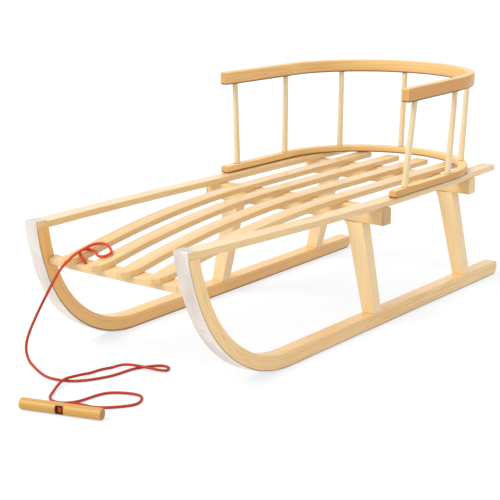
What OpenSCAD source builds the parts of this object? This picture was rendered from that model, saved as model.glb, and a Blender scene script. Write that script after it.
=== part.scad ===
// Wooden toboggan with a horseshoe backrest and a pull cord.
// Millimetres. +Z is up, the front of the sled faces -Y, and the rider's left is +X.
// The origin lies on the ground under the middle of the sled.

/* [Runners] */
// Length of each runner on the ground plan, horn to rear end
runner_l = 941; // [860:1:1040]
// Width of a runner across the sled
runner_w = 26; // [22:1:30]
// Height of the wood of a runner where it lies flat
runner_t = 24.5; // [22:0.5:30]
// Half of the sled's width over the outer faces of the runners at the rear
track_half = 190; // [160:1:215]
// How far the runners toe in towards the front, in degrees
toe_in = 0.72; // [0:0.02:1]
// How far the bent horns lean in, in degrees
lean_in = 2.7; // [0:0.1:3]
// Outer radius of the lower, tighter part of the bend
bend_r = 227; // [200:1:240]
// How much larger the outer radius of the upper, easier part is
bend_ease = 130; // [104:13:156]
// Thickness of the steel strip under and around a runner
shoe_t = 2; // [1.6:0.1:3]
// Length of the strip's end that lies on top of the rail
shoe_lap = 23; // [14:1:30]

/* [Seat] */
// Height of the tops of the trestle beams, where rails and slats lie
seat_z = 215; // [195:1:235]
// How much thicker a side rail is than a slat
rail_more = 1; // [0:0.5:4]
// Width of a side rail
rail_w = 28; // [24:1:32]
// How far the rails at their widest stand out past the runners
rail_over = 1; // [-3:0.5:6]
// How far the front of a rail rises above its level rear stretch
rail_rise = 7.5; // [2:0.5:12]
// Thickness of a slat
slat_t = 10; // [8:0.5:11]
// Width of a slat
slat_w = 28; // [22:1:32]
// Spacing of the slats at the rear
slat_pitch = 67; // [58:1:72]
// Spacing of the slats at their front tips
tip_pitch = 60; // [54:1:66]
// Radius of the top of a slat's long curve
slat_r = 2370; // [2200:10:2600]

/* [Trestles] */
// Depth of a trestle beam along the sled
beam_d = 25; // [22:1:30]
// Height of a trestle beam
beam_h = 29.5; // [26:0.5:34]
// Front face of the front trestle, from the middle of the sled
front_trestle_y = 14; // [-10:1:40]
// Front face of the rear trestle, from the middle of the sled
rear_trestle_y = 334; // [300:1:360]
// How far the front beam stands out past the rails
beam_over = 6; // [3:1:12]
// Width of a leg where it meets the beam
leg_top_w = 33; // [28:1:36]
// Centre of a leg's top, from the middle of the sled
leg_top_x = 136.5; // [130:0.5:142]

/* [Backrest] */
// How far the middle line of the lower hoop lies inside the rails' outer edges
hoop_inset = 4.5; // [2:0.5:9]
// Width of both hoops, seen from above
hoop_w = 17.5; // [15:0.5:20]
// Thickness of the lower hoop
low_hoop_h = 13.5; // [12:0.5:16]
// Height of the upper hoop's section
top_hoop_h = 24; // [18:1:30]
// Free length of the spindles between the hoops
spindle_l = 152.5; // [120:0.5:180]
// Diameter of a spindle at its foot
spindle_d = 12; // [11:0.5:14]
// Diameter of the round tenons on the spindles
tenon_d = 8; // [6:0.5:9]

/* [Pull cord] */
// Diameter of the cord
cord_d = 4.5; // [4:0.5:5]
// Diameter of the wooden toggle
handle_d = 18; // [16:1:22]
// Length of the wooden toggle
handle_l = 133; // [110:1:160]

/* [Hidden] */
$fn = 48;

// Colours of the real materials
ash = "#EBC896";
ash_dark = "#DCAA6C";
birch = "#F5E1B4";
steel = "#D6D3D0";
zinc = "#B9BBC0";
red_cord = "#D8452B";
toggle_wood = "#EDC27A";

// Clearances and small joinery sizes
glue_gap = 0.1;            // all round a glued mortise and tenon
screw_gap = 0.1;           // round a screw in its hole
tall = 600;                // taller than anything on the sled
wide = 300;                // wider than half of the sled

// Ends of the runners
rear_y = runner_l / 2;
rail_t = slat_t + rail_more;
rail_half = track_half + rail_over;
hoop_r = rail_half - hoop_inset;
rear_bevel = 8;            // cut under the runner's rear end
rear_round = 5;            // round on top of the runner's rear end
shoe_rear_gap = 4;         // the strip stops this far short of the cut

// The bend: two arcs that run into each other along the 5-12-13 triangle's long side.
// All of it is placed from the runner's rear end.
joint_dir = [12 / 13, 5 / 13];
horn_r = bend_r + bend_ease;
upper_z = bend_r + bend_ease * joint_dir[1];
horn_top_z = seat_z + rail_t + rail_rise;
horn_reach = sqrt(pow(horn_r, 2) - pow(upper_z - horn_top_z, 2)) - bend_ease * joint_dir[0];
bend_y = round(1000 * (horn_reach - runner_l)) / 1000;
upper_y = bend_y + bend_ease * joint_dir[0];

// The rails: a level rear stretch, a rising front stretch and a bow in plan
rail_kink_y = front_trestle_y;
rail_bow_r = 6900;
rail_wide_y = 104;
rail_rear_y = rear_y - 15;
rail_slope = atan(rail_rise / (rail_kink_y + rear_y));
rail_end_r = 2;
rail_corner_r = 7;
function rail_x(y) = rail_half - rail_bow_r + sqrt(pow(rail_bow_r, 2) - pow(y - rail_wide_y, 2));

// The slats: level at the rear, one long curve down to the tip
slat_rear_y = rear_y - 45;
slat_tip_y = -rear_y + 11;
slat_bend_y = 0;
slat_cz = seat_z + slat_t - slat_r;
tip_w = 10;                // width of a slat's cut end
tip_l = 30;                // the right side runs in over this length
function slat_under(y) = slat_cz + sqrt(pow(slat_r - slat_t, 2) - pow(y - slat_bend_y, 2));
function slat_x(i, y) = (i - 2.5) * (slat_pitch + (tip_pitch - slat_pitch)
                        * (slat_rear_y - y) / (slat_rear_y - slat_tip_y));

// The front crossbar lies on the chord of the slats' undersides
bar_y = slat_tip_y + 14;
bar_d = 22;
bar_t = 12;
bar_drop = 60;             // about how far it lies below the horns' tops
bar_side_gap = 0.2;        // between its shoulders and the runners
bar_neck_x = track_x(bar_y, horn_top_z - bar_drop) - runner_w - bar_side_gap;
bar_neck_l = 19;
bar_half = bar_neck_x - bar_neck_l;
bar_slack = 0.02;          // keeps its flat top clear of the slats' slight curve
bar_slope = atan((slat_under(bar_y + bar_d) - slat_under(bar_y)) / bar_d);
bar_neck_d = 16;
bar_neck_t = 10;
bar_tenon_d = 10;
bar_tenon_t = 8;
bar_tenon_in = 10;
bar_screw_l = bar_t + 6;
cord_hole_d = cord_d + 2;
cord_hole_x = -68;
cord_hole_y = bar_y + 7.5;
bar_under = slat_under(bar_y) + (cord_hole_y - bar_y) * tan(bar_slope) - bar_t / cos(bar_slope);

// Trestles
beam_z = seat_z - beam_h;
leg_top_d = beam_d;
leg_foot_d = 22;
haunch_r = 8;
foot_over = 6;             // the leg is drawn this much too long and cut at the runner
top_tenon = [18, 12, 16];
foot_tenon = [13, 12, 12];
runner_top = shoe_t + runner_t;
function track_x(y, z) = track_half - (rear_y - y) * tan(toe_in) - z * tan(lean_in);

// Backrest
hoop_z = seat_z + rail_t;
hoop_front_y = 58;
hoop_cy = 266;
flare = 2.4;               // the upper hoop opens towards the front
top_hoop_r = hoop_r + 3.5;
top_hoop_cy = hoop_cy + 5;
top_hoop_front_y = 71;
top_hoop_z = hoop_z + low_hoop_h + spindle_l;
spindle_top_d = spindle_d - 1.5;
foot_tenon_l = 10;
head_tenon_l = 13;
// Place of each spindle round the hoops: its y on the sides, or its angle on the bend
spindle_side_y = [97, 253];
spindle_bend_a = 40.5;
spindle_rake = 8;          // the side spindles' heads stand this far behind their feet
spindle_mid_a = 99.7;      // the rear spindle stands a little to the right of the middle

// Screws: head diameter, head height, shank diameter
head_d = 7;
head_h = 1.8;
shank_d = 3.5;
shoe_screw_l = 18;
bend_screw_a = 58;
shoe_screw_y = [rear_y + bend_y + 66, front_trestle_y + 76, rear_trestle_y - 84,
                rear_y - 0.37 * (rear_y - rear_trestle_y)];
slat_screw_l = 36;
rail_screw_l = 36;
back_screw_l = 20;
back_screw_y = [75, 205];
horn_screw_l = 30;

// Toggle, and the bore that holds the cord's knot
handle_at = [36.4, -599.8, handle_d / 2];
handle_turn = 18.2;
knot_d = 10;
knot_seat = 4.2;           // from the knot's middle to the face it is drawn against
bar_knot_d = 8;
bar_knot_seat = 3;
knot_sink_d = 9.5;         // the crossbar's knot is sunk into its underside
knot_sink_h = 7.5;
pocket_w = 13;
pocket_r = 3.5;

// Route of the cord's middle line, from the knot under the crossbar to the knot in the toggle
low = cord_d / 2 + 0.1;    // lying on the ground
cord_steps = 4;            // stretches between two points of the route
cord_sides = 8;            // sides of its cross-section
cord_route = [
  [-68, -438, 163], [-68, -438, 174.5], [-72.7, -440.3, 182.6], [-80, -437.8, 188.1],
  [-83.8, -429.6, 191.1], [-80, -418.8, 190.9], [-68, -415.5, 188.4], [-46.5, -430.4, 187.8],
  [-34.5, -425.9, 189.4], [-35.8, -412.6, 192.9], [-59.6, -395.8, 195.6], [-75.3, -391.9, 195.7],
  [-83.2, -402.8, 195.3], [-77.3, -431, 194.3], [-81.3, -455.8, 184.6], [-103.7, -470.2, 150.8],
  [-173.5, -469.6, 39.4], [-155.7, -481.5, 1], [-89.6, -508.9, low], [-42.1, -495.9, low],
  [-14.2, -449.5, low], [-5.3, -396.4, low], [16.8, -363.3, low], [35.8, -363.8, low],
  [34.9, -383.5, 4.6], [-22.2, -400, 6.3], [-44.9, -432.1, low], [-48.3, -484.4, 6.4],
  [-49, -516.3, 6.8], [-24.5, -564.4, low], [0.8, -574.6, low], [22, -555.6, low], [34.2, -501.6, low],
  [77.9, -479.8, low], [98.9, -508, low], [73.6, -545.2, low], [40.4, -564.3, 5], [31.1, -575.1, 8.1],
  [32.5, -588, 9], [37.5, -603.5, 9]
];

// ---------- frames and shared shapes ----------

// Puts a shape on the rider's left (+1) or right (-1)
module on_side(s) {
  if (s > 0) children();
  else mirror([1, 0, 0]) children();
}

// The plane of the left runner: x = 0 is its outer face, y = 0 its rear end
module runner_frame() {
  translate([track_half, rear_y - runner_w * sin(toe_in) / 2, 0])
    rotate([0, 0, -toe_in])
      rotate([0, -lean_in, 0])
        children();
}

// Stands a flat outline drawn in (y, z) up across the sled, from x0 to x0 + w
module across(x0, w) {
  translate([x0, 0, 0])
    rotate([90, 0, 90])
      linear_extrude(w)
        children();
}

module ring(r_in, r_out, n = 180) {
  difference() {
    circle(r_out, $fn = n);
    circle(r_in, $fn = n);
  }
}

// The runner's line between two depths below its outer face, ending rear_cut short
module runner_outline(d_out, d_in, rear_cut) {
  far = (horn_r + bend_ease) * joint_dir;
  translate([bend_y, d_out])
    square([-bend_y - rear_cut, d_in - d_out]);
  translate([bend_y, bend_r])
    intersection() {
      ring(bend_r - d_in, bend_r - d_out);
      polygon([[0, 0], -far, [-far[0], -far[0]], [0, -far[0]]]);
    }
  translate([upper_y, upper_z])
    intersection() {
      ring(horn_r - d_in, horn_r - d_out);
      polygon([[0, 0], [-far[0], 0], -far]);
    }
}

// Everything above a plane that follows the rail's front stretch, h above the beams' tops
module above_rail_plane(h) {
  translate([0, rail_kink_y, seat_z + h])
    rotate([-rail_slope, 0, 0])
      translate([-wide, -2 * rear_y, 0])
        cube([2 * wide, 2 * rear_y, tall]);
}

module above_ground() {
  translate([-wide, -2 * rear_y, 0])
    cube([2 * wide, 4 * rear_y, tall]);
}

// A countersunk screw: its head's face at z = 0, its point at z = -l
module screw(l) {
  translate([0, 0, -head_h])
    cylinder(d1 = shank_d, d2 = head_d, h = head_h);
  translate([0, 0, -l + shank_d])
    cylinder(d = shank_d, h = l - shank_d - head_h + 0.01);
  translate([0, 0, -l])
    cylinder(d1 = 0.6, d2 = shank_d, h = shank_d + 0.01);
}

// The hole that a screw needs, open above its head
module screw_hole(l) {
  cylinder(d = head_d + 2 * screw_gap, h = 1.5);
  translate([0, 0, -head_h])
    cylinder(d1 = shank_d + 2 * screw_gap, d2 = head_d + 2 * screw_gap, h = head_h + 0.01);
  translate([0, 0, -l - screw_gap])
    cylinder(d = shank_d + 2 * screw_gap, h = l);
}

// ---------- runners ----------

module shoe_screw_places() {
  runner_frame() {
    for (y = shoe_screw_y)
      translate([-runner_w / 2, y - rear_y, sink()])
        rotate([180, 0, 0])
          children();
    translate([0, bend_y, bend_r])
      rotate([-bend_screw_a, 0, 0])
        translate([-runner_w / 2, 0, -bend_r])
          rotate([180, 0, 0])
            children();
  }
}
// The ground face cuts the leaning strip, so the heads sit a little deeper there
function sink() = (runner_w + head_d) / 2 * tan(lean_in) + 0.05;

module horn_screw_place() {
  y = -rear_y + shoe_lap / 2 + 1;
  translate([track_x(y, seat_z) - runner_w / 2, y, seat_z + rail_t + (rail_kink_y - y) * tan(rail_slope)])
    rotate([-rail_slope, 0, 0])
      children();
}

module foot_mortise(trestle_y, gap) {
  x = leg_foot_x(trestle_y);
  translate([x - foot_tenon[0] / 2 - gap, trestle_y + (leg_foot_d - foot_tenon[1]) / 2 - gap,
             runner_top - foot_tenon[2] - gap])
    cube([foot_tenon[0] + 2 * gap, foot_tenon[1] + 2 * gap, foot_tenon[2] + 2 * gap + 8]);
}
function leg_foot_x(trestle_y) = track_x(trestle_y + leg_foot_d / 2, runner_top) - runner_w / 2;

module runner(s) {
  color(ash)
    on_side(s)
      difference() {
        intersection() {
          runner_frame()
            across(-runner_w, runner_w)
              runner_outline(shoe_t, runner_top, 0);
          above_ground();
        }
        above_rail_plane(0);
        runner_frame()
          across(-wide / 2, wide) {
            polygon([[-rear_bevel, shoe_t], [1, shoe_t + rear_bevel + 1], [1, 0], [-rear_bevel, 0]]);
            translate([-rear_round, runner_top - rear_round])
              difference() {
                square(rear_round + 1);
                circle(rear_round);
              }
          }
        for (y = [front_trestle_y, rear_trestle_y])
          foot_mortise(y, glue_gap);
        bar_tenon(1, glue_gap);
        shoe_screw_places()
          screw_hole(shoe_screw_l);
        horn_screw_place()
          screw_hole(horn_screw_l);
      }
}

module runner_shoe(s) {
  color(steel)
    on_side(s)
      difference() {
        union() {
          intersection() {
            runner_frame()
              across(-runner_w, runner_w)
                runner_outline(0, shoe_t, shoe_rear_gap + rear_bevel);
            above_ground();
            shoe_reach();
          }
          shoe_lap_plate();
        }
        shoe_screw_places()
          screw_hole(shoe_screw_l);
      }
}

// The strip's front rises to the top of the plate that laps the rail
module shoe_reach() {
  difference() {
    translate([-wide, -rear_y - 50, -1])
      cube([2 * wide, 4 * rear_y, tall]);
    above_rail_plane(rail_t + shoe_t);
  }
}

// The plate starts inside the strip's thickness and lies on the rail
module shoe_lap_plate() {
  intersection() {
    difference() {
      above_rail_plane(rail_t);
      above_rail_plane(rail_t + shoe_t);
    }
    runner_frame()
      across(-runner_w, runner_w)
        intersection() {
          translate([-runner_l - 30, 0])
            square([30 + shoe_lap, tall]);
          translate([upper_y, upper_z])
            circle(horn_r - shoe_t / 2, $fn = 180);
        }
  }
}

// ---------- seat ----------

// Side view of a rail, as a flat outline across the whole sled
module rail_profile() {
  front_y = -rear_y - 20;
  rise = (rail_kink_y - front_y) * tan(rail_slope);
  q = [for (a = [0:15:90]) [sin(a), cos(a)]];
  e = rail_end_r;
  rotate([90, 0, 90])
    linear_extrude(2 * wide, center = true)
      polygon(concat(
        [[front_y, seat_z + rise], [front_y, seat_z + rail_t + rise], [rail_kink_y, seat_z + rail_t]],
        [for (p = q) [rail_rear_y - e + e * p[0], seat_z + rail_t - e + e * p[1]]],
        [for (i = [6:-1:0]) [rail_rear_y - e + e * q[i][0], seat_z + e - e * q[i][1]]],
        [[rail_kink_y, seat_z]]));
}

module side_rail(s) {
  color(ash)
    on_side(s)
      difference() {
        intersection() {
          rail_profile();
          translate([rail_half - rail_bow_r, rail_wide_y, 0])
            rotate([0, 0, -6])
              rotate_extrude(angle = 12, $fn = 900)
                translate([rail_bow_r - rail_w, seat_z - 20])
                  square([rail_w, 80]);
          runner_frame()
            across(-wide, 2 * wide)
              rail_front_room();
        }
        rail_corner(rail_x(rail_rear_y), 1);
        rail_corner(rail_x(rail_rear_y) - rail_w, -1);
        for (y = [front_trestle_y, rear_trestle_y])
          rail_screw_place(y)
            screw_hole(rail_screw_l);
        for (y = back_screw_y)
          back_screw_place(y)
            screw_hole(back_screw_l);
        horn_screw_place()
          screw_hole(horn_screw_l);
      }
}

// What is cut off a rail's rear corner, seen from above
module rail_corner(x, s) {
  translate([x, rail_rear_y, seat_z - 5])
    mirror([s < 0 ? 1 : 0, 0, 0])
      linear_extrude(rail_t + 10)
        translate([-rail_corner_r, -rail_corner_r])
          difference() {
            square(rail_corner_r + 3);
            circle(rail_corner_r);
          }
}

// A rail's front end is cut round to lie against the inside of the strip
module rail_front_room() {
  translate([upper_y, upper_z])
    circle(horn_r - shoe_t, $fn = 180);
  translate([upper_y, 0])
    square([runner_l, tall]);
}

module slat_tip_outline(i) {
  rear = slat_x(i, slat_rear_y);
  tip = slat_x(i, slat_tip_y);
  turn = atan((rear - tip) / (slat_rear_y - slat_tip_y));
  l = slat_rear_y - slat_tip_y;
  h = slat_w / 2;
  c = 1.5;                   // the corners are cut by this much
  r = -h + c + tip_w;        // where the cut end meets the run-in
  translate([tip, slat_tip_y])
    rotate(-turn)
      polygon([[-h + c, 0], [r, 0], [(r + h) / 2 + 2, tip_l / 3], [h - c, 0.68 * tip_l],
               [h, tip_l], [h, l], [-h, l], [-h, 4]]);
}

module slat(i) {
  color(ash)
    difference() {
      intersection() {
        union() {
          translate([-wide, slat_bend_y, seat_z])
            cube([2 * wide, slat_rear_y - slat_bend_y + 10, slat_t]);
          across(-wide, 2 * wide)
            translate([slat_bend_y, slat_cz])
              intersection() {
                ring(slat_r - slat_t, slat_r, 360);
                translate([-slat_r / 4, 0])
                  square([slat_r / 4, slat_r + 1]);
              }
        }
        linear_extrude(tall)
          slat_tip_outline(i);
      }
      slat_screw_places(i)
        screw_hole(slat_screw_l);
    }
}

// The crossbar's own frame: its front top edge, tilted with the slats
module bar_frame() {
  translate([0, bar_y, slat_under(bar_y) - bar_slack])
    rotate([bar_slope, 0, 0])
      children();
}

// The tenon at the left (+1) or right (-1) end of the crossbar
module bar_tenon(s, gap) {
  end_x = bar_neck_x + bar_tenon_in;
  on_side(s)
    bar_frame()
      translate([bar_half - 5, 1 - gap, -(bar_t + bar_tenon_t) / 2 - gap])
        cube([end_x - bar_half + 5 + gap, bar_tenon_d + 2 * gap, bar_tenon_t + 2 * gap]);
}

// The neck between the crossbar's body and the runner
module bar_neck(s) {
  on_side(s)
    bar_frame()
      translate([bar_half - 5, 1, -(bar_t + bar_neck_t) / 2])
        cube([bar_neck_x - bar_half + 5, bar_neck_d, bar_neck_t]);
}

module front_crossbar() {
  color(ash)
    difference() {
      union() {
        bar_frame()
          translate([-bar_half, 0, -bar_t])
            cube([2 * bar_half, bar_d, bar_t]);
        for (s = [1, -1]) {
          bar_neck(s);
          bar_tenon(s, 0);
        }
      }
      translate([cord_hole_x, cord_hole_y, 0]) {
        cylinder(d = cord_hole_d, h = tall);
        cylinder(d = knot_sink_d, h = bar_under + knot_sink_h);
      }
      for (i = [1:4])
        bar_screw_place(i)
          screw_hole(bar_screw_l);
    }
}

// ---------- trestles ----------

// Outer end of a beam: the front beam passes the rails, the rear beam a little less
function beam_half(y) = rail_x(y) + (y == front_trestle_y ? beam_over : beam_over / 2);

module trestle_beam(y) {
  h = beam_half(y);
  color(ash)
    difference() {
      translate([-h, y, beam_z])
        cube([2 * h, beam_d, beam_h]);
      for (s = [1, -1])
        on_side(s) {
          translate([leg_top_x - top_tenon[0] / 2 - glue_gap,
                     y + (beam_d - top_tenon[1]) / 2 - glue_gap, beam_z - 1])
            cube([top_tenon[0] + 2 * glue_gap, top_tenon[1] + 2 * glue_gap,
                  top_tenon[2] + glue_gap + 1]);
          rail_screw_place(y)
            screw_hole(rail_screw_l);
        }
      for (i = [1:4])
        beam_slat_screw_place(i, y)
          screw_hole(slat_screw_l);
    }
}

// Side view of a leg across the sled, with a small round at its inner top corner
module leg_outline(foot_x) {
  a = leg_top_w / 2;
  b = runner_w / 2;
  lean = (leg_top_x - foot_x) / (beam_z - runner_top);
  low_x = foot_x - foot_over * lean;
  inner = leg_top_x - a;
  polygon([[low_x - b, runner_top - foot_over], [low_x + b, runner_top - foot_over],
           [leg_top_x + a, beam_z], [inner, beam_z]]);
  difference() {
    translate([inner - haunch_r, beam_z - haunch_r])
      square([haunch_r + 3, haunch_r]);
    translate([inner - haunch_r, beam_z - haunch_r])
      circle(haunch_r);
  }
}

module leg(s, y) {
  color(ash)
    on_side(s) {
      difference() {
        intersection() {
          translate([0, y + beam_d + 5, 0])
            rotate([90, 0, 0])
              linear_extrude(beam_d + 10)
                leg_outline(leg_foot_x(y));
          across(0, wide)
            polygon([[y, 0], [y + leg_foot_d, 0], [y + leg_foot_d, runner_top],
                     [y + leg_top_d, beam_z], [y, beam_z]]);
        }
        // the foot is cut to the leaning top of the runner
        runner_frame()
          translate([-wide, -2 * rear_y, -50])
            cube([2 * wide, 3 * rear_y, 50 + runner_top]);
      }
      translate([leg_top_x - top_tenon[0] / 2, y + (beam_d - top_tenon[1]) / 2, beam_z - 1])
        cube([top_tenon[0], top_tenon[1], top_tenon[2] + 1]);
      foot_mortise(y, 0);
    }
}

// ---------- backrest ----------

module hoop(r, cy, front_y, z, h, open) {
  side_l = (cy - front_y + r * sin(open)) / cos(open);
  translate([0, cy, z]) {
    rotate([0, 0, open])
      rotate_extrude(angle = 180 - 2 * open, $fn = 180)
        translate([r - hoop_w / 2, 0])
          square([hoop_w, h]);
    for (s = [1, -1])
      on_side(s)
        rotate([0, 0, open])
          translate([r - hoop_w / 2, -side_l, 0])
            cube([hoop_w, side_l, h]);
  }
}

// Foot and head of each spindle, on the middle lines of the two hoops
function side_foot(s, y) = [s * hoop_r, y];
function side_head(s, y) = [s * (top_hoop_r * cos(flare) + (top_hoop_cy - y - spindle_rake) * tan(flare)
                                 + top_hoop_r * sin(flare) * tan(flare)), y + spindle_rake];
function arc_point(r, cy, a) = [r * cos(a), cy + r * sin(a)];
function spindle_foot(k) =
  k == 1 ? side_foot(1, spindle_side_y[0]) :
  k == 2 ? side_foot(1, spindle_side_y[1]) :
  k == 3 ? arc_point(hoop_r, hoop_cy, spindle_bend_a) :
  k == 4 ? arc_point(hoop_r, hoop_cy, spindle_mid_a) :
  k == 5 ? arc_point(hoop_r, hoop_cy, 180 - spindle_bend_a) :
  k == 6 ? side_foot(-1, spindle_side_y[1]) : side_foot(-1, spindle_side_y[0]);
function spindle_head(k) =
  k == 1 ? side_head(1, spindle_side_y[0]) :
  k == 2 ? side_head(1, spindle_side_y[1]) :
  k == 3 ? arc_point(top_hoop_r, top_hoop_cy, spindle_bend_a) :
  k == 4 ? arc_point(top_hoop_r, top_hoop_cy, spindle_mid_a) :
  k == 5 ? arc_point(top_hoop_r, top_hoop_cy, 180 - spindle_bend_a) :
  k == 6 ? side_head(-1, spindle_side_y[1]) : side_head(-1, spindle_side_y[0]);

// The frame of spindle k: its foot at the top of the lower hoop, its axis along z
module spindle_frame(k) {
  f = spindle_foot(k);
  h = spindle_head(k);
  dx = h[0] - f[0];
  dy = h[1] - f[1];
  tilt = atan(sqrt(dx * dx + dy * dy) / spindle_l);
  translate([f[0], f[1], hoop_z + low_hoop_h])
    rotate([0, 0, atan2(dy, dx)])
      rotate([0, tilt, 0])
        children();
}
function spindle_len(k) = norm([spindle_head(k)[0] - spindle_foot(k)[0],
                                spindle_head(k)[1] - spindle_foot(k)[1], spindle_l]);

module spindle_bores(gap) {
  for (k = [1:7])
    spindle_frame(k)
      translate([0, 0, -foot_tenon_l])
        cylinder(d = tenon_d + 2 * gap, h = foot_tenon_l + spindle_len(k) + head_tenon_l);
}

module spindle(k) {
  l = spindle_len(k);
  shoulder = 0.6;
  color(birch)
    spindle_frame(k) {
      translate([0, 0, -foot_tenon_l + 0.3])
        cylinder(d = tenon_d, h = foot_tenon_l + l + head_tenon_l - 0.6);
      translate([0, 0, shoulder])
        cylinder(d1 = spindle_d, d2 = spindle_top_d, h = l - 2 * shoulder);
    }
}

module backrest_lower_hoop() {
  color(ash_dark)
    difference() {
      hoop(hoop_r, hoop_cy, hoop_front_y, hoop_z, low_hoop_h, 0);
      spindle_bores(glue_gap / 2);
      for (s = [1, -1])
        on_side(s)
          for (y = back_screw_y)
            back_screw_place(y)
              screw_hole(back_screw_l);
    }
}

module backrest_upper_hoop() {
  color(ash_dark)
    difference() {
      hoop(top_hoop_r, top_hoop_cy, top_hoop_front_y, top_hoop_z, top_hoop_h, flare);
      spindle_bores(glue_gap / 2);
    }
}

// ---------- screws ----------

// A rail screw goes up through the beam outside the leg
module rail_screw_place(y) {
  translate([(leg_top_x + leg_top_w / 2 + beam_half(y)) / 2, y + beam_d / 2, beam_z])
    rotate([180, 0, 0])
      children();
}

// A slat screw goes up through the beam
module beam_slat_screw_place(i, y) {
  translate([slat_x(i, y), y + beam_d / 2, beam_z])
    rotate([180, 0, 0])
      children();
}

// A slat screw at the front goes up through the crossbar
module bar_screw_place(i) {
  bar_frame()
    translate([slat_x(i, bar_y), bar_d * 0.5, -bar_t])
      rotate([180, 0, 0])
        children();
}

module slat_screw_places(i) {
  for (y = [front_trestle_y, rear_trestle_y])
    beam_slat_screw_place(i, y)
      children();
  bar_screw_place(i)
    translate([0, 0, slat_screw_l - bar_screw_l])
      children();
}

// A backrest screw goes up through the rail into the lower hoop
module back_screw_place(y) {
  inner = hoop_r - hoop_w / 2;
  translate([(inner + rail_x(y)) / 2, y, seat_z])
    rotate([180, 0, 0])
      children();
}

module shoe_screws() {
  color(zinc)
    for (s = [1, -1])
      on_side(s)
        shoe_screw_places()
          screw(shoe_screw_l);
}

module horn_screws() {
  color(zinc)
    for (s = [1, -1])
      on_side(s)
        horn_screw_place()
          screw(horn_screw_l);
}

module rail_screws() {
  color(zinc)
    for (s = [1, -1])
      on_side(s)
        for (y = [front_trestle_y, rear_trestle_y])
          rail_screw_place(y)
            screw(rail_screw_l);
}

module slat_screws() {
  color(zinc)
    for (i = [1:4]) {
      for (y = [front_trestle_y, rear_trestle_y])
        beam_slat_screw_place(i, y)
          screw(slat_screw_l);
      bar_screw_place(i)
        screw(bar_screw_l);
    }
}

module backrest_screws() {
  color(zinc)
    for (s = [1, -1])
      on_side(s)
        for (y = back_screw_y)
          back_screw_place(y)
            screw(back_screw_l);
}

// ---------- pull cord ----------

// The cord's middle line is a smooth curve through the route's points
function route_at(i) = cord_route[max(0, min(len(cord_route) - 1, i))];
function smooth(a, b, c, d, t) =
  0.5 * (2 * b + (c - a) * t + (2 * a - 5 * b + 4 * c - d) * t * t
         + (3 * b - a - 3 * c + d) * t * t * t);
function not_below(p) = [p[0], p[1], max(p[2], low)];
cord_line = concat(
  [for (i = [0:len(cord_route) - 2], k = [0:cord_steps - 1])
    not_below(smooth(route_at(i - 1), route_at(i), route_at(i + 1), route_at(i + 2), k / cord_steps))],
  [route_at(len(cord_route) - 1)]);
function unit(v) = v / norm(v);
function tangent(i) = unit(cord_line[min(len(cord_line) - 1, i + 1)] - cord_line[max(0, i - 1)]);
// A side direction carried along the cord, so that the tube doesn't twist
function carried(i, v) = unit(v - (v * tangent(i)) * tangent(i));
function side_dirs(i, v) = (i >= len(cord_line)) ? [] :
  concat([carried(i, v)], side_dirs(i + 1, carried(i, v)));

module pull_cord() {
  dirs = side_dirs(0, [1, 0, 0]);
  n = len(cord_line);
  points = [for (i = [0:n - 1], k = [0:cord_sides - 1])
    let (a = 360 * k / cord_sides, u = dirs[i], v = cross(tangent(i), u))
      cord_line[i] + cord_d / 2 * (cos(a) * u + sin(a) * v)];
  around = [for (i = [0:n - 2], k = [0:cord_sides - 1])
    let (k2 = (k + 1) % cord_sides, a = i * cord_sides, b = (i + 1) * cord_sides)
      [a + k, b + k, b + k2, a + k2]];
  start = [[for (k = [0:cord_sides - 1]) k]];
  end = [[for (k = [cord_sides - 1:-1:0]) (n - 1) * cord_sides + k]];
  color(red_cord)
    polyhedron(points, concat(around, start, end), convexity = 10);
}

module handle_frame() {
  translate(handle_at)
    rotate([0, 0, handle_turn])
      children();
}

module pull_handle() {
  r = handle_d / 2;
  round_end = 3;
  color(toggle_wood)
    handle_frame()
      difference() {
        rotate([0, 90, 0])
          rotate_extrude()
            polygon(concat(
              [[0, -handle_l / 2]],
              [for (a = [0:15:90]) [r - round_end + round_end * sin(a),
                                    -handle_l / 2 + round_end - round_end * cos(a)]],
              [for (a = [90:-15:0]) [r - round_end + round_end * sin(a),
                                     handle_l / 2 - round_end + round_end * cos(a)]],
              [[0, handle_l / 2]]));
        rotate([90, 0, 0]) {
          cylinder(d = cord_hole_d, h = 2 * handle_d, center = true);
          linear_extrude(handle_d)
            pocket_outline();
        }
      }
}

// A square with round corners
module pocket_outline() {
  e = pocket_w / 2 - pocket_r;
  square([pocket_w, 2 * e], center = true);
  square([2 * e, pocket_w], center = true);
  for (x = [-e, e], y = [-e, e])
    translate([x, y])
      circle(pocket_r);
}

module handle_knot() {
  color(red_cord)
    handle_frame()
      translate([0, -knot_seat, 0])
        sphere(d = knot_d);
}

module crossbar_knot() {
  color(red_cord)
    translate([cord_hole_x, cord_hole_y, bar_under + knot_sink_h - bar_knot_seat])
      sphere(d = bar_knot_d);
}

runner(1);  // runner_left
runner(-1);  // runner_right
runner_shoe(1);  // runner_shoe_left
runner_shoe(-1);  // runner_shoe_right
side_rail(1);  // side_rail_left
side_rail(-1);  // side_rail_right
front_crossbar();
trestle_beam(front_trestle_y);  // front_trestle_beam
trestle_beam(rear_trestle_y);  // rear_trestle_beam
leg(1, front_trestle_y);  // front_leg_left
leg(-1, front_trestle_y);  // front_leg_right
leg(1, rear_trestle_y);  // rear_leg_left
leg(-1, rear_trestle_y);  // rear_leg_right
slat(1);  // slat_1
slat(2);  // slat_2
slat(3);  // slat_3
slat(4);  // slat_4
backrest_lower_hoop();
backrest_upper_hoop();
spindle(1);  // spindle_1
spindle(2);  // spindle_2
spindle(3);  // spindle_3
spindle(4);  // spindle_4
spindle(5);  // spindle_5
spindle(6);  // spindle_6
spindle(7);  // spindle_7
shoe_screws();
horn_screws();
rail_screws();
slat_screws();
backrest_screws();
pull_cord();
pull_handle();
handle_knot();
crossbar_knot();
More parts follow.
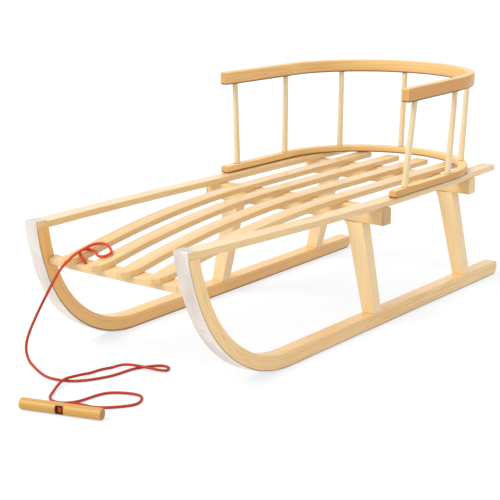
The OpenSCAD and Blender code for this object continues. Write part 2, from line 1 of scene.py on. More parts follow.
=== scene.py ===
import math

import bpy
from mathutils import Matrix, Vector


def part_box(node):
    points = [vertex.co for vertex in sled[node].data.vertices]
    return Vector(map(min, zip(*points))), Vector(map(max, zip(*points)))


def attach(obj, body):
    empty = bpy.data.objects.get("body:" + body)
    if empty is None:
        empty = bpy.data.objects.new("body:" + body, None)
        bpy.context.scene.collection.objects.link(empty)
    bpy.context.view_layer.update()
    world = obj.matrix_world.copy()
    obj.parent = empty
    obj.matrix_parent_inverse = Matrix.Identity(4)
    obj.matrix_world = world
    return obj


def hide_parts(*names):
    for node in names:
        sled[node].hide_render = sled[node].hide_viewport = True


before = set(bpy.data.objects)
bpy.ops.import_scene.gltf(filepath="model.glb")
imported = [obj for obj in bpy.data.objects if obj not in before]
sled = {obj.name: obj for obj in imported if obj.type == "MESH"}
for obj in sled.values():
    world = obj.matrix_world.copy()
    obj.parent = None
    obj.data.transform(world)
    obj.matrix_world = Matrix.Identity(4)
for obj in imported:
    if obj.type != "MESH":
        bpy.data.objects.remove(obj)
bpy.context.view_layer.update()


# ---------- Camera ----------
# A long lens stands low in front of the sled, off its left horn.
# It looks back along the slats to the backrest, so that the horns and the cord come nearest.
camera_data = bpy.data.cameras.new("sled_camera")
camera_data.sensor_width = 36
camera_data.lens = 89.81
camera_data.clip_end = 60
camera = bpy.data.objects.new("sled_camera", camera_data)
camera.location = (1.27856, -1.77082, 0.68605)
camera.rotation_euler = (math.radians(75.36), 0, math.radians(37.51))
bpy.context.scene.collection.objects.link(camera)
bpy.context.scene.camera = camera


# ---------- Pull cord ----------
# A braided red cord, limp, about 4.5 mm thick. It comes up through the crossbar between the first
# two slats, makes a loop on their tips, falls past the horn and lies on the ground up to the toggle.
cord_diameter = 0.0045
lying = cord_diameter / 2 + 0.0001
# The middle line from knot to knot. A height of 0 stands for lying on the ground.
cord_route_mm = [
    (-68, -438, 163), (-68, -438, 174.5), (-72.7, -440.3, 182.6), (-80, -437.8, 188.1),
    (-83.8, -429.6, 191.1), (-80, -418.8, 190.9), (-68, -415.5, 188.4), (-46.5, -430.4, 187.8),
    (-34.5, -425.9, 189.4), (-35.8, -412.6, 192.9), (-59.6, -395.8, 195.6), (-75.3, -391.9, 195.7),
    (-83.2, -402.8, 195.3), (-77.3, -431, 194.3), (-81.3, -455.8, 184.6), (-103.7, -470.2, 150.8),
    (-173.5, -469.6, 39.4), (-155.7, -481.5, 1), (-89.6, -508.9, 0), (-42.1, -495.9, 0),
    (-14.2, -449.5, 0), (-5.3, -396.4, 0), (16.8, -363.3, 0), (35.8, -363.8, 0), (34.9, -383.5, 4.6),
    (-22.2, -400, 6.3), (-44.9, -432.1, 0), (-48.3, -484.4, 6.4), (-49, -516.3, 6.8),
    (-24.5, -564.4, 0), (0.8, -574.6, 0), (22, -555.6, 0), (34.2, -501.6, 0), (77.9, -479.8, 0),
    (98.9, -508, 0), (73.6, -545.2, 0), (40.4, -564.3, 5), (31.1, -575.1, 8.1), (32.5, -588, 9),
    (37.5, -603.5, 9),
]
route = [Vector((x, y, z)) / 1000 for x, y, z in cord_route_mm]


def smooth_line(points, steps, lowest):
    """A Catmull-Rom curve through the points, kept above the ground."""
    line = []
    last = len(points) - 1
    for i in range(last):
        a, b, c, d = (points[max(0, min(last, i + k))] for k in (-1, 0, 1, 2))
        for k in range(steps):
            t = k / steps
            p = 0.5 * (2 * b + (c - a) * t + (2 * a - 5 * b + 4 * c - d) * t * t
                       + (3 * b - a - 3 * c + d) * t ** 3)
            p.z = max(p.z, lowest)
            line.append(p)
    line.append(points[-1].copy())
    return line


def tube_mesh(name, line, radius, sides, closed=False):
    """A tube along a line, with its length in metres along V and one turn along U."""
    count = len(line)
    verts, faces, uvs = [], [], []
    side = Vector((1, 0, 0))
    travelled, rows = 0.0, []
    for i, p in enumerate(line):
        ahead = line[(i + 1) % count] if closed else line[min(count - 1, i + 1)]
        behind = line[i - 1] if closed or i else line[0]
        along = (ahead - behind).normalized()
        side = (side - along * side.dot(along)).normalized()
        across = along.cross(side)
        if i:
            travelled += (p - line[i - 1]).length
        rows.append(travelled)
        for k in range(sides):
            a = 2 * math.pi * k / sides
            verts.append(p + radius * (math.cos(a) * side + math.sin(a) * across))
    last_row = count if closed else count - 1
    for i in range(last_row):
        j = (i + 1) % count
        next_row = rows[j] if j else rows[-1] + (line[0] - line[-1]).length
        for k in range(sides):
            after = (k + 1) % sides
            faces.append((i * sides + k, i * sides + after, j * sides + after, j * sides + k))
            uvs += [(k / sides, rows[i]), ((k + 1) / sides, rows[i])]
            uvs += [((k + 1) / sides, next_row), (k / sides, next_row)]
    if not closed:
        faces.append(tuple(range(sides - 1, -1, -1)))
        faces.append(tuple((count - 1) * sides + k for k in range(sides)))
        uvs += [(0.5, rows[0])] * sides + [(0.5, rows[-1])] * sides
    mesh = bpy.data.meshes.new(name)
    mesh.from_pydata([v[:] for v in verts], [], faces)
    layer = mesh.uv_layers.new(name="along")
    for loop, uv in zip(layer.data, uvs):
        loop.uv = uv
    for polygon in mesh.polygons:
        polygon.use_smooth = True
    piece = bpy.data.objects.new(name, mesh)
    bpy.context.scene.collection.objects.link(piece)
    return piece


def new_material(name):
    """A material with its shader, and the node tree to build on."""
    material = bpy.data.materials.new(name)
    material.use_nodes = True
    return material, material.node_tree, material.node_tree.nodes["Principled BSDF"]


def feed(tree, socket, value):
    """Joins a socket to another, or sets its value."""
    if isinstance(value, bpy.types.NodeSocket):
        tree.links.new(value, socket)
    else:
        socket.default_value = value


def calculate(tree, operation, *values):
    """One step of arithmetic on numbers that change over the surface."""
    node = tree.nodes.new("ShaderNodeMath")
    node.operation = operation
    for socket, value in zip(node.inputs, values):
        feed(tree, socket, value)
    return node.outputs[0]


def ramp(tree, value, low, high):
    """0 below low, 1 above high, and smooth between them."""
    node = tree.nodes.new("ShaderNodeMapRange")
    node.interpolation_type = "SMOOTHSTEP"
    feed(tree, node.inputs["Value"], value)
    node.inputs["From Min"].default_value = low
    node.inputs["From Max"].default_value = high
    return node.outputs["Result"]


def fade(tree, value, low, high):
    """1 below low, 0 above high, and smooth between them."""
    return calculate(tree, "SUBTRACT", 1.0, ramp(tree, value, low, high))


def blend(tree, share, first, second):
    """One colour running into another."""
    node = tree.nodes.new("ShaderNodeMix")
    node.data_type = "RGBA"
    feed(tree, node.inputs["Factor"], share)
    colours = [socket for socket in node.inputs if socket.type == "RGBA"]
    feed(tree, colours[0], first)
    feed(tree, colours[1], second)
    return [socket for socket in node.outputs if socket.type == "RGBA"][0]


def new_group(name, takes, gives):
    """A node group with named sockets, with what it is given and what it makes."""
    group = bpy.data.node_groups.new(name, "ShaderNodeTree")
    for way, sockets in (("INPUT", takes), ("OUTPUT", gives)):
        for socket, kind in sockets.items():
            group.interface.new_socket(socket, in_out=way, socket_type="NodeSocket" + kind)
    given = group.nodes.new("NodeGroupInput").outputs
    made = group.nodes.new("NodeGroupOutput").inputs
    return group, given, made


def place_group(tree, group, values):
    """Places a node group in a material with its own values."""
    node = tree.nodes.new("ShaderNodeGroup")
    node.node_tree = group
    for name, value in values.items():
        feed(tree, node.inputs[name], value)
    return node.outputs


def stain_group():
    """A tint laid over a colour where a mask says, at most as strongly as asked."""
    group, given, made = new_group(
        "stain", {"Colour": "Color", "Tint": "Color", "Where": "Float", "Strength": "Float"},
        {"Colour": "Color"})
    share = calculate(group, "MULTIPLY", given["Where"], given["Strength"])
    group.links.new(blend(group, share, given["Colour"], given["Tint"]), made["Colour"])
    return group


stain_marks = stain_group()


def stain(tree, colour, where, strength, tint):
    """Lays one stain over a material's colour."""
    values = {"Colour": colour, "Tint": tint, "Where": where, "Strength": strength}
    return place_group(tree, stain_marks, values)["Colour"]


def noise(tree, place, scale, detail=3.0, roughness=0.5, distortion=0.0):
    """Cloudy noise, stretched by a scale for each direction."""
    stretch = tree.nodes.new("ShaderNodeVectorMath")
    stretch.operation = "MULTIPLY"
    feed(tree, stretch.inputs[0], place)
    stretch.inputs[1].default_value = scale
    node = tree.nodes.new("ShaderNodeTexNoise")
    tree.links.new(stretch.outputs[0], node.inputs["Vector"])
    node.inputs["Scale"].default_value = 1.0
    node.inputs["Detail"].default_value = detail
    node.inputs["Roughness"].default_value = roughness
    node.inputs["Distortion"].default_value = distortion
    return node.outputs["Fac"]


def bump(tree, shader, height, depth, strength=1.0):
    """Relief of a given depth in metres on a shader's normal."""
    node = tree.nodes.new("ShaderNodeBump")
    node.inputs["Strength"].default_value = strength
    node.inputs["Distance"].default_value = depth
    feed(tree, node.inputs["Height"], height)
    tree.links.new(node.outputs["Normal"], shader.inputs["Normal"])


strands = 6
lay_length = 0.0125
red_shaded_in_grooves = (0.42, 0.022, 0.008, 1)
red_on_strands = (0.80, 0.085, 0.028, 1)
red_when_damp = (0.24, 0.024, 0.012, 1)


def braided_cord_material():
    """Two sets of strands pass over and under each other, with painted shade in the grooves between
    them. Damp snow darkens the part that drags.
    """
    material, tree, shader = new_material("braided_red_cord")
    shader.inputs["Roughness"].default_value = 0.62
    shader.inputs["Specular IOR Level"].default_value = 0.25
    uv = tree.nodes.new("ShaderNodeUVMap")
    uv.uv_map = "along"
    split = tree.nodes.new("ShaderNodeSeparateXYZ")
    tree.links.new(uv.outputs[0], split.inputs[0])
    turn = calculate(tree, "MULTIPLY", split.outputs[0], strands * math.pi)
    run = calculate(tree, "MULTIPLY", split.outputs[1], strands * math.pi / lay_length)
    right = calculate(tree, "SINE", calculate(tree, "ADD", turn, run))
    left = calculate(tree, "SINE", calculate(tree, "SUBTRACT", turn, run))
    over = calculate(tree, "GREATER_THAN", calculate(tree, "MULTIPLY", right, left), 0.0)
    under = calculate(tree, "SUBTRACT", 1.0, over)
    height = calculate(tree, "ADD",
                       calculate(tree, "MULTIPLY", over, calculate(tree, "ABSOLUTE", right)),
                       calculate(tree, "MULTIPLY", under, calculate(tree, "ABSOLUTE", left)))
    place = tree.nodes.new("ShaderNodeTexCoord").outputs["Object"]
    fibres = noise(tree, place, (1400, 1400, 1400), detail=2)
    # Strand relief and fibres. The low grooves get a darker red, which is painted shade.
    surface_detail = calculate(tree, "MULTIPLY_ADD", fibres, 0.5, calculate(tree, "MULTIPLY", height, 0.75))
    colour = blend(tree, ramp(tree, surface_detail, 0.1, 0.85), red_shaded_in_grooves, red_on_strands)
    above_ground = tree.nodes.new("ShaderNodeSeparateXYZ")
    tree.links.new(place, above_ground.inputs[0])
    damp = fade(tree, above_ground.outputs[2], 0.10, 0.185)
    colour = stain(tree, colour, damp, strength=0.42, tint=red_when_damp)
    tree.links.new(colour, shader.inputs["Base Color"])
    bump(tree, shader, surface_detail, depth=0.0004, strength=0.8)
    return material


squeezed = 0.42
knot_steps = 60
knot_depth = 1.2


def knot_piece(name, node, across):
    """A pulled-tight overhand knot, a trefoil. Its cord is squeezed to a share of its width."""
    low, high = (Vector(corner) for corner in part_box(node))
    centre = (low + high) / 2
    thickness = squeezed * across
    trefoil_radius = 3.0
    reach = (across - thickness) / 2 / trefoil_radius
    line = []
    for i in range(knot_steps):
        t = 2 * math.pi * i / knot_steps
        line.append(centre + reach * Vector((math.sin(t) + 2 * math.sin(2 * t),
                                             -knot_depth * math.sin(3 * t),
                                             math.cos(t) - 2 * math.cos(2 * t))))
    piece = tube_mesh(name, line, thickness / 2, sides=10, closed=True)
    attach(piece, "root")
    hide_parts(node)
    piece.data.materials.append(cord_material)
    return piece


cord_material = braided_cord_material()
cord_line = smooth_line(route, steps=8, lowest=lying)
cord = tube_mesh("braided_cord", cord_line, cord_diameter / 2, sides=14)
cord.data.materials.append(cord_material)
toggle_knot = knot_piece("toggle_stop_knot", "handle_knot", 0.0098)
bar_knot = knot_piece("crossbar_stop_knot", "crossbar_knot", 0.0078)

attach(cord, "root")
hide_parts("pull_cord")


# ---------- Runners ----------
# Each runner is one ash bar, laminated, steamed and bent up into a horn in two arcs.
# It is sanded, its edges are eased, and it is varnished clear.
def wood_grain_group():
    """Fibres, growth rings, pores and slow tone changes of a board whose fibres run along Y."""
    tree, given, made = new_group(
        "wood_grain",
        {"Place": "Vector", "Light Wood": "Color", "Dark Wood": "Color", "Rings": "Float",
         "Fibres": "Float"},
        {"Colour": "Color", "Roughness": "Float", "Height": "Float"})
    place = given["Place"]
    figure = noise(tree, place, (34, 1.1, 52), detail=2, roughness=0.45, distortion=0.35)
    rings = calculate(tree, "SINE", calculate(tree, "MULTIPLY", figure, 70.0))
    late_wood = ramp(tree, rings, -0.1, 1.0)
    fibres = noise(tree, place, (620, 9, 620), detail=4, roughness=0.6)
    pores = ramp(tree, noise(tree, place, (1500, 42, 1500), detail=2), 0.63, 0.72)
    tone = noise(tree, place, (9, 1.6, 9), detail=2)
    share = calculate(tree, "MULTIPLY", late_wood, given["Rings"])
    streaks = calculate(tree, "MULTIPLY", calculate(tree, "SUBTRACT", fibres, 0.5), given["Fibres"])
    share = calculate(tree, "ADD", share, streaks)
    share = calculate(tree, "ADD", share, calculate(tree, "SUBTRACT", tone, 0.32))
    share = calculate(tree, "MULTIPLY_ADD", pores, 0.22, share)
    clamp = tree.nodes.new("ShaderNodeClamp")
    tree.links.new(share, clamp.inputs[0])
    colour = blend(tree, clamp.outputs[0], given["Light Wood"], given["Dark Wood"])
    tree.links.new(colour, made["Colour"])
    gloss = calculate(tree, "MULTIPLY_ADD", fibres, 0.16, 0.30)
    tree.links.new(calculate(tree, "MULTIPLY_ADD", pores, 0.12, gloss), made["Roughness"])
    relief = calculate(tree, "MULTIPLY_ADD", late_wood, 0.35, calculate(tree, "MULTIPLY", fibres, 0.5))
    tree.links.new(calculate(tree, "SUBTRACT", relief, calculate(tree, "MULTIPLY", pores, 0.4)),
                   made["Height"])
    return tree


wood_grain = wood_grain_group()
ash_light = (0.88, 0.64, 0.33, 1)
ash_dark = (0.76, 0.47, 0.18, 1)


def sled_axes(tree):
    """Where a point of the surface lies in the sled, in metres."""
    place = tree.nodes.new("ShaderNodeTexCoord").outputs["Object"]
    split = tree.nodes.new("ShaderNodeSeparateXYZ")
    tree.links.new(place, split.inputs[0])
    return split.outputs


def board_place(tree, across, along, depth, shift):
    """The same point in its board, with the fibres along Y. No two boards are cut alike."""
    place = tree.nodes.new("ShaderNodeCombineXYZ")
    feed(tree, place.inputs[0], calculate(tree, "ADD", across, 0.371 * shift))
    feed(tree, place.inputs[1], calculate(tree, "ADD", along, 1.73 * shift))
    feed(tree, place.inputs[2], calculate(tree, "ADD", depth, 0.247 * shift))
    return place.outputs[0]


def varnished_wood(name, grain, shift, light=ash_light, dark=ash_dark, rings=0.30, fibres=0.9,
                   coat=0.9, marks=None):
    """Clear-varnished wood. grain() finds the point in its board, and marks() adds dark places."""
    material, tree, shader = new_material(name)
    shader.inputs["Coat Weight"].default_value = coat
    shader.inputs["Coat Roughness"].default_value = 0.26
    shader.inputs["Coat IOR"].default_value = 1.45
    shader.inputs["Specular IOR Level"].default_value = 0.12
    axes = sled_axes(tree)
    across, along, depth = grain(tree, *axes)
    board = place_group(tree, wood_grain, {
        "Place": board_place(tree, across, along, depth, shift), "Light Wood": light,
        "Dark Wood": dark, "Rings": rings, "Fibres": fibres})
    colour = board["Colour"]
    if marks:
        colour = marks(tree, colour, *axes)
    tree.links.new(colour, shader.inputs["Base Color"])
    tree.links.new(board["Roughness"], shader.inputs["Roughness"])
    bump(tree, shader, board["Height"], depth=0.00012, strength=0.55)
    return material


def finish(node, material, edge=0.0):
    """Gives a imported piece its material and, if wanted, joins its faces and eases their edges."""
    piece = sled[node]
    for slot in piece.material_slots:
        slot.material = material
    if edge:
        joined = piece.modifiers.new("joined_faces", "WELD")
        joined.merge_threshold = 0.00001
        eased = piece.modifiers.new("eased_edges", "BEVEL")
        eased.width = edge
        eased.segments = 2
        eased.use_clamp_overlap = False
        eased.loop_slide = False
        eased.limit_method = "ANGLE"
        eased.angle_limit = math.radians(60)


# centre and radius of the bend's two arcs in side view, and the height where they meet
bend = {"lower": (-0.2363, 0.227, 0.227), "upper": (-0.1163, 0.277, 0.357)}
arcs_meet_z = 0.1397


def bend_depth(tree, y, z):
    """How deep a point lies under the outer face of a bent runner."""
    depths = {}
    for name in ("lower", "upper"):
        centre_y, centre_z, radius = bend[name]
        back = calculate(tree, "SUBTRACT", y, centre_y)
        if name == "lower":
            back = calculate(tree, "MINIMUM", back, 0.0)
        rise = calculate(tree, "SUBTRACT", z, centre_z)
        span = calculate(tree, "SQRT", calculate(tree, "ADD", calculate(tree, "POWER", back, 2.0),
                                                 calculate(tree, "POWER", rise, 2.0)))
        depths[name] = calculate(tree, "SUBTRACT", radius, span)
    above = calculate(tree, "GREATER_THAN", z, arcs_meet_z)
    change = calculate(tree, "SUBTRACT", depths["upper"], depths["lower"])
    return calculate(tree, "MULTIPLY_ADD", above, change, depths["lower"])


forward_per_rise = 1.5


def bent_along_runner(tree, x, y, z):
    """Along a runner's fibres, climbing the horn counts as going forward."""
    return x, calculate(tree, "MULTIPLY_ADD", z, -forward_per_rise, y), bend_depth(tree, y, z)


glue_line_depth = 0.0175
glue_brown = (0.30, 0.15, 0.06, 1)
seam_dirt = (0.10, 0.05, 0.025, 1)


def seam_and_glue_line(tree, colour, x, y, z):
    """Dirt in the seam above the steel strip, and the thin glue line between two layers."""
    depth = bend_depth(tree, y, z)
    seam = fade(tree, depth, 0.0026, 0.0036)
    glue = calculate(tree, "COMPARE", depth, glue_line_depth, 0.00035)
    colour = stain(tree, colour, glue, strength=0.35, tint=glue_brown)
    return stain(tree, colour, seam, strength=0.75, tint=seam_dirt)


runner_light = {"left": (0.97, 0.69, 0.33, 1), "right": (0.93, 0.57, 0.21, 1)}
runner_dark = (0.79, 0.45, 0.15, 1)
for number, side in enumerate(("left", "right")):
    finish("runner_" + side,
           varnished_wood("runner_wood_" + side, bent_along_runner, 1.0 + number,
                          runner_light[side], runner_dark, marks=seam_and_glue_line),
           edge=0.0012)


# ---------- Steel strips ----------
# A 2 mm steel strip runs under each runner, round the bend and over the front end of the rail.
# It is ground bright, dulled by handling, and scratched along its length where it slides.
strip_tint = (0.84, 0.77, 0.70, 1)
scratch_tint = (0.88, 0.87, 0.86, 1)


def ground_steel_group():
    """Fine lines and a few scratches along Y, and duller clouds where the steel is handled."""
    tree, given, made = new_group(
        "ground_steel",
        {"Place": "Vector", "Bright Tint": "Color", "Dull Tint": "Color", "Scratch Tint": "Color",
         "Dullness": "Float"},
        {"Colour": "Color", "Roughness": "Float", "Height": "Float"})
    lines = noise(tree, given["Place"], (1500, 14, 900), roughness=0.6)
    clouds = noise(tree, given["Place"], (26, 7, 26))
    streaks = noise(tree, given["Place"], (900, 5, 900), detail=1, roughness=0.4)
    dull = calculate(tree, "MULTIPLY_ADD", clouds, 0.22, given["Dullness"])
    tree.links.new(calculate(tree, "MULTIPLY_ADD", lines, 0.12, dull), made["Roughness"])
    shade = blend(tree, ramp(tree, clouds, 0.35, 0.7), given["Bright Tint"], given["Dull Tint"])
    scratches = calculate(tree, "MULTIPLY", ramp(tree, streaks, 0.68, 0.74), 0.5)
    tree.links.new(blend(tree, scratches, shade, given["Scratch Tint"]), made["Colour"])
    tree.links.new(lines, made["Height"])
    return tree


ground_steel = ground_steel_group()


def bright_steel(name, grain, tint, dullness):
    """Bare or plated steel. grain() gives the way that its lines run."""
    material, tree, shader = new_material(name)
    shader.inputs["Metallic"].default_value = 1.0
    surface_detail = place_group(tree, ground_steel, {
        "Place": board_place(tree, *grain(tree, *sled_axes(tree)), shift=0.0),
        "Bright Tint": tint, "Dull Tint": tuple(0.82 * part for part in tint[:3]) + (1,),
        "Scratch Tint": scratch_tint, "Dullness": dullness})
    tree.links.new(surface_detail["Roughness"], shader.inputs["Roughness"])
    tree.links.new(surface_detail["Colour"], shader.inputs["Base Color"])
    bump(tree, shader, surface_detail["Height"], depth=0.00004, strength=0.5)
    return material


strip_steel = bright_steel("strip_steel", bent_along_runner, strip_tint, dullness=0.23)
for side in ("left", "right"):
    finish("runner_shoe_" + side, strip_steel, edge=0.0004)


# ---------- Side rails ----------
# Two ash rails lie on the trestle beams, bowed outward a little, and run forward to the horns.
# They are planed, rounded at their rear corners and varnished.
def straight_along_sled(tree, x, y, z):
    return x, y, z


for number, side in enumerate(("left", "right")):
    finish("side_rail_" + side,
           varnished_wood("rail_wood_" + side, straight_along_sled, 3.0 + number), edge=0.0007)


# ---------- Front crossbar ----------
# A flat ash bar tenoned between the horns carries the tips of the slats.
# Its underside is bored out for the cord's knot.
def across_sled(tree, x, y, z):
    return y, x, z


finish("front_crossbar", varnished_wood("crossbar_wood", across_sled, 5.0), edge=0.0005)


# ---------- Trestles ----------
# Each is a beam across the sled on two splayed legs, tenoned at both ends and glued.
# The front beam reaches out past the rails, and its end grain takes the varnish darker.
def up_the_leg(tree, x, y, z):
    return x, z, y


leg_light = (0.95, 0.73, 0.42, 1)
leg_dark = (0.85, 0.59, 0.28, 1)
end_grain_brown = (0.46, 0.21, 0.06, 1)
end_grain_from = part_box("front_trestle_beam")[1][0] - 0.0049


def dark_end_grain(tree, colour, x, y, z):
    ends = ramp(tree, calculate(tree, "ABSOLUTE", x), end_grain_from, end_grain_from + 0.002)
    return stain(tree, colour, ends, strength=0.65, tint=end_grain_brown)


beam_marks = {"front": dark_end_grain, "rear": None}
for number, place in enumerate(("front", "rear")):
    finish(place + "_trestle_beam",
           varnished_wood(place + "_beam_wood", across_sled, 6.0 + number, marks=beam_marks[place]),
           edge=0.0015)
    for hand, side in enumerate(("left", "right")):
        finish(place + "_leg_" + side,
               varnished_wood(place + "_leg_wood_" + side, up_the_leg, 8.0 + 2 * number + hand,
                              leg_light, leg_dark, rings=0.22, fibres=0.7),
               edge=0.0006)


# ---------- Slats ----------
# Four ash slats run from behind the rear beam down in one long curve to the crossbar.
# Each is screwed from below to both beams and the crossbar, and its tip is cut to run in.
slat_curve_r = 2.37
slat_light = (0.83, 0.57, 0.27, 1)
slat_dark = (0.70, 0.41, 0.14, 1)


def down_the_slat(tree, x, y, z):
    """Flattens a slat's curve, so that its rings follow its length."""
    fall = calculate(tree, "POWER", calculate(tree, "MINIMUM", y, 0.0), 2.0)
    return x, y, calculate(tree, "MULTIPLY_ADD", fall, 0.5 / slat_curve_r, z)


for number in range(1, 5):
    finish("slat_" + str(number),
           varnished_wood("slat_wood_" + str(number), down_the_slat, 11.0 + 1.3 * number,
                          slat_light, slat_dark, rings=0.24 + 0.04 * (number % 3)),
           edge=0.0012)


# ---------- Backrest ----------
# Two steam-bent ash hoops with seven turned birch spindles glued between them.
# The lower hoop is screwed down on the rails, and the heavier upper one is the arm and back rail.
lower_bend_y = 0.266
upper_bend_y = 0.271
upper_flare = 2.4
hoop_mean_radius = 0.19
hoop_light = (0.92, 0.61, 0.26, 1)
hoop_dark = (0.70, 0.38, 0.12, 1)
# Painted shade for the hoops' outer faces, and a painted shadow along their lower edges.
outer_face_painted_shade = (0.60, 0.25, 0.035, 1)
sawn_end_brown = (0.40, 0.17, 0.04, 1)
lower_edge_painted_shadow = (0.16, 0.06, 0.02, 1)


def round_the_hoop(bend_y):
    """Distance from the bend's centre line across a hoop, and the way round it along its fibres."""
    def grain(tree, x, y, z):
        back = calculate(tree, "SUBTRACT", y, bend_y)
        around = calculate(tree, "MAXIMUM", back, 0.0)
        ahead = calculate(tree, "MINIMUM", back, 0.0)
        radius = calculate(tree, "SQRT", calculate(tree, "ADD", calculate(tree, "POWER", x, 2.0),
                                                   calculate(tree, "POWER", around, 2.0)))
        angle = calculate(tree, "ARCTAN2", around, calculate(tree, "ABSOLUTE", x))
        return radius, calculate(tree, "MULTIPLY_ADD", angle, hoop_mean_radius, ahead), z
    return grain


def hoop_painted_shade_and_end_grain(node, bend_y, flare=0.0):
    """Painted shade on a hoop's outer face, a painted shadow along its lower edge, and darker end
    grain on its two sawn ends.
    A flared hoop opens to the front by that many degrees a side."""
    low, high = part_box(node)
    opening = math.tan(math.radians(flare))
    outer = high[0] - opening * (bend_y - low[1])

    def marks(tree, colour, x, y, z):
        ahead = calculate(tree, "MAXIMUM", calculate(tree, "SUBTRACT", bend_y, y), 0.0)
        radius = calculate(tree, "MULTIPLY_ADD", ahead, -opening,
                           round_the_hoop(bend_y)(tree, x, y, z)[0])
        outer_face_shade = ramp(tree, radius, outer - 0.0035, outer - 0.0015)
        ends = fade(tree, y, low[1] + 0.0004, low[1] + 0.0022)
        edge = fade(tree, z, low[2] + 0.0018, low[2] + 0.0040)
        # Painted shade on the outer face and a painted shadow along the lower edge. The sawn ends are
        # darker end grain.
        colour = stain(tree, colour, outer_face_shade, strength=0.7, tint=outer_face_painted_shade)
        colour = stain(tree, colour, ends, strength=0.4, tint=sawn_end_brown)
        return stain(tree, colour, edge, strength=0.85, tint=lower_edge_painted_shadow)
    return marks


finish("backrest_lower_hoop",
       varnished_wood("lower_hoop_wood", round_the_hoop(lower_bend_y), 17.0, hoop_light, hoop_dark,
                      coat=0.3, marks=hoop_painted_shade_and_end_grain("backrest_lower_hoop", lower_bend_y)),
       edge=0.0022)
finish("backrest_upper_hoop",
       varnished_wood("upper_hoop_wood", round_the_hoop(upper_bend_y), 18.0, hoop_light, hoop_dark,
                      coat=0.3,
                      marks=hoop_painted_shade_and_end_grain("backrest_upper_hoop", upper_bend_y, upper_flare)),
       edge=0.003)

birch_light = (0.85, 0.70, 0.44, 1)
birch_dark = (0.74, 0.54, 0.28, 1)
for number in range(1, 8):
    finish("spindle_" + str(number),
           varnished_wood("spindle_wood_" + str(number), up_the_leg, 20.0 + 0.7 * number,
                          birch_light, birch_dark, rings=0.18, fibres=0.7))


# ---------- Screws ----------
# Zinc-plated countersunk screws hold the strips, horns, rails, slats and the backrest.
# The plating is a dull warm grey, with fine scratches.
zinc_tint = (0.74, 0.71, 0.68, 1)
zinc = bright_steel("zinc_plating", straight_along_sled, zinc_tint, dullness=0.27)
for group in ("shoe", "horn", "rail", "slat", "backrest"):
    finish(group + "_screws", zinc)


# ---------- Toggle ----------
# The cord ends in a turned wooden toggle. It is bored across, and a square recess takes the cord's
# knot. Its walls are darkened with painted shade, and its rim is scorched.
toggle_low, toggle_high = (Vector(corner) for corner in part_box("pull_handle"))
toggle_middle = (toggle_low + toggle_high) / 2
toggle_turn = math.radians(18.2)
toggle_half = 0.0665
recess_half = 0.0065
toggle_light = (0.66, 0.38, 0.10, 1)
toggle_dark = (0.52, 0.26, 0.05, 1)
toggle_end_brown = (0.36, 0.16, 0.05, 1)
recess_shade_and_scorch_brown = (0.13, 0.038, 0.014, 1)


def toggle_axes(tree, x, y, z):
    """The same point along the toggle, across it and up from its middle line."""
    east = calculate(tree, "SUBTRACT", x, toggle_middle[0])
    north = calculate(tree, "SUBTRACT", y, toggle_middle[1])
    along = calculate(tree, "MULTIPLY_ADD", north, math.sin(toggle_turn),
                      calculate(tree, "MULTIPLY", east, math.cos(toggle_turn)))
    across = calculate(tree, "MULTIPLY_ADD", north, math.cos(toggle_turn),
                       calculate(tree, "MULTIPLY", east, -math.sin(toggle_turn)))
    return along, across, calculate(tree, "SUBTRACT", z, toggle_middle[2])


def along_the_toggle(tree, x, y, z):
    along, across, up = toggle_axes(tree, x, y, z)
    return across, along, up


def shaded_scorched_recess_and_ends(tree, colour, x, y, z):
    along, across, up = toggle_axes(tree, x, y, z)
    ends = ramp(tree, calculate(tree, "ABSOLUTE", along), toggle_half - 0.0012, toggle_half - 0.0002)
    colour = stain(tree, colour, ends, strength=0.75, tint=toggle_end_brown)
    reach = calculate(tree, "MAXIMUM", calculate(tree, "ABSOLUTE", along),
                      calculate(tree, "ABSOLUTE", up))
    # The recess walls get painted shade and its rim a real scorch, in one dark brown.
    front = fade(tree, across, -0.0012, 0.0008)
    shade_and_scorch = fade(tree, reach, recess_half - 0.0002, recess_half + 0.0009)
    return stain(tree, colour, calculate(tree, "MULTIPLY", shade_and_scorch, front), strength=0.9,
                 tint=recess_shade_and_scorch_brown)


finish("pull_handle",
       varnished_wood("toggle_wood", along_the_toggle, 30.0, toggle_light, toggle_dark,
                      coat=0.35, marks=shaded_scorched_recess_and_ends))


# ---------- Floor and light ----------
# A white studio sweep under a soft white sky, with broad, even light from above, ahead and the sled's
# right. What the camera sees of the sweep is white, and it keeps the soft shadow.
def seen_directly(tree):
    """1 for what the camera sees, straight or in a reflection or through glass."""
    path = tree.nodes.new("ShaderNodeLightPath")
    shiny = calculate(tree, "MAXIMUM", path.outputs["Is Glossy Ray"],
                      path.outputs["Is Transmission Ray"])
    return calculate(tree, "MAXIMUM", path.outputs["Is Camera Ray"], shiny)


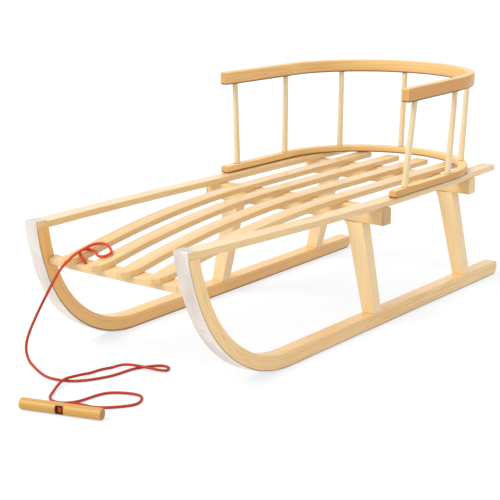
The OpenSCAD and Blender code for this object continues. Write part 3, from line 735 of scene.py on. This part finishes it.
def sweep_material():
    material = bpy.data.materials.new("white_sweep")
    material.use_nodes = True
    tree = material.node_tree
    tree.nodes.clear()
    plain = tree.nodes.new("ShaderNodeBsdfDiffuse")
    plain.inputs["Color"].default_value = (0.68, 0.68, 0.68, 1)
    paper = tree.nodes.new("ShaderNodeBsdfDiffuse")
    paper.inputs["Color"].default_value = (0.42, 0.395, 0.375, 1)
    glow = tree.nodes.new("ShaderNodeEmission")
    glow.inputs["Color"].default_value = (0.86, 0.93, 1.0, 1)
    glow.inputs["Strength"].default_value = 0.68
    seen = tree.nodes.new("ShaderNodeAddShader")
    tree.links.new(paper.outputs[0], seen.inputs[0])
    tree.links.new(glow.outputs[0], seen.inputs[1])
    either = tree.nodes.new("ShaderNodeMixShader")
    tree.links.new(seen_directly(tree), either.inputs[0])
    tree.links.new(plain.outputs[0], either.inputs[1])
    tree.links.new(seen.outputs[0], either.inputs[2])
    output = tree.nodes.new("ShaderNodeOutputMaterial")
    tree.links.new(either.outputs[0], output.inputs["Surface"])
    return material


floor_half = 12
floor_z = -0.0005
floor_mesh = bpy.data.meshes.new("studio_floor")
corners = [(floor_half * x, floor_half * y, floor_z) for x, y in ((-1, -1), (1, -1), (1, 1), (-1, 1))]
floor_mesh.from_pydata(corners, [], [(0, 1, 2, 3)])
floor = bpy.data.objects.new("studio_floor", floor_mesh)
floor_mesh.materials.append(sweep_material())
bpy.context.scene.collection.objects.link(floor)

world = bpy.data.worlds.new("studio")
bpy.context.scene.world = world
world.use_nodes = True
sky = world.node_tree
soft_light = sky.nodes["Background"]
soft_light.inputs["Color"].default_value = (1, 1, 1, 1)
soft_light.inputs["Strength"].default_value = 0.87
white_wall = sky.nodes.new("ShaderNodeBackground")
white_wall.inputs["Color"].default_value = (1, 1, 1, 1)
white_wall.inputs["Strength"].default_value = 1.0
choice = sky.nodes.new("ShaderNodeMixShader")
sky.links.new(seen_directly(sky), choice.inputs[0])
sky.links.new(soft_light.outputs[0], choice.inputs[1])
sky.links.new(white_wall.outputs[0], choice.inputs[2])
sky.links.new(choice.outputs[0], sky.nodes["World Output"].inputs["Surface"])

lamp_data = bpy.data.lights.new("key_lamp", "SUN")
lamp_data.energy = 1.7
lamp_data.angle = math.radians(32)
lamp = bpy.data.objects.new("key_lamp", lamp_data)
light_travels = Vector((0.35, 0.78, -0.98))
lamp.rotation_euler = light_travels.to_track_quat("-Z", "Y").to_euler()
bpy.context.scene.collection.objects.link(lamp)

bpy.context.scene.view_settings.view_transform = "Standard"
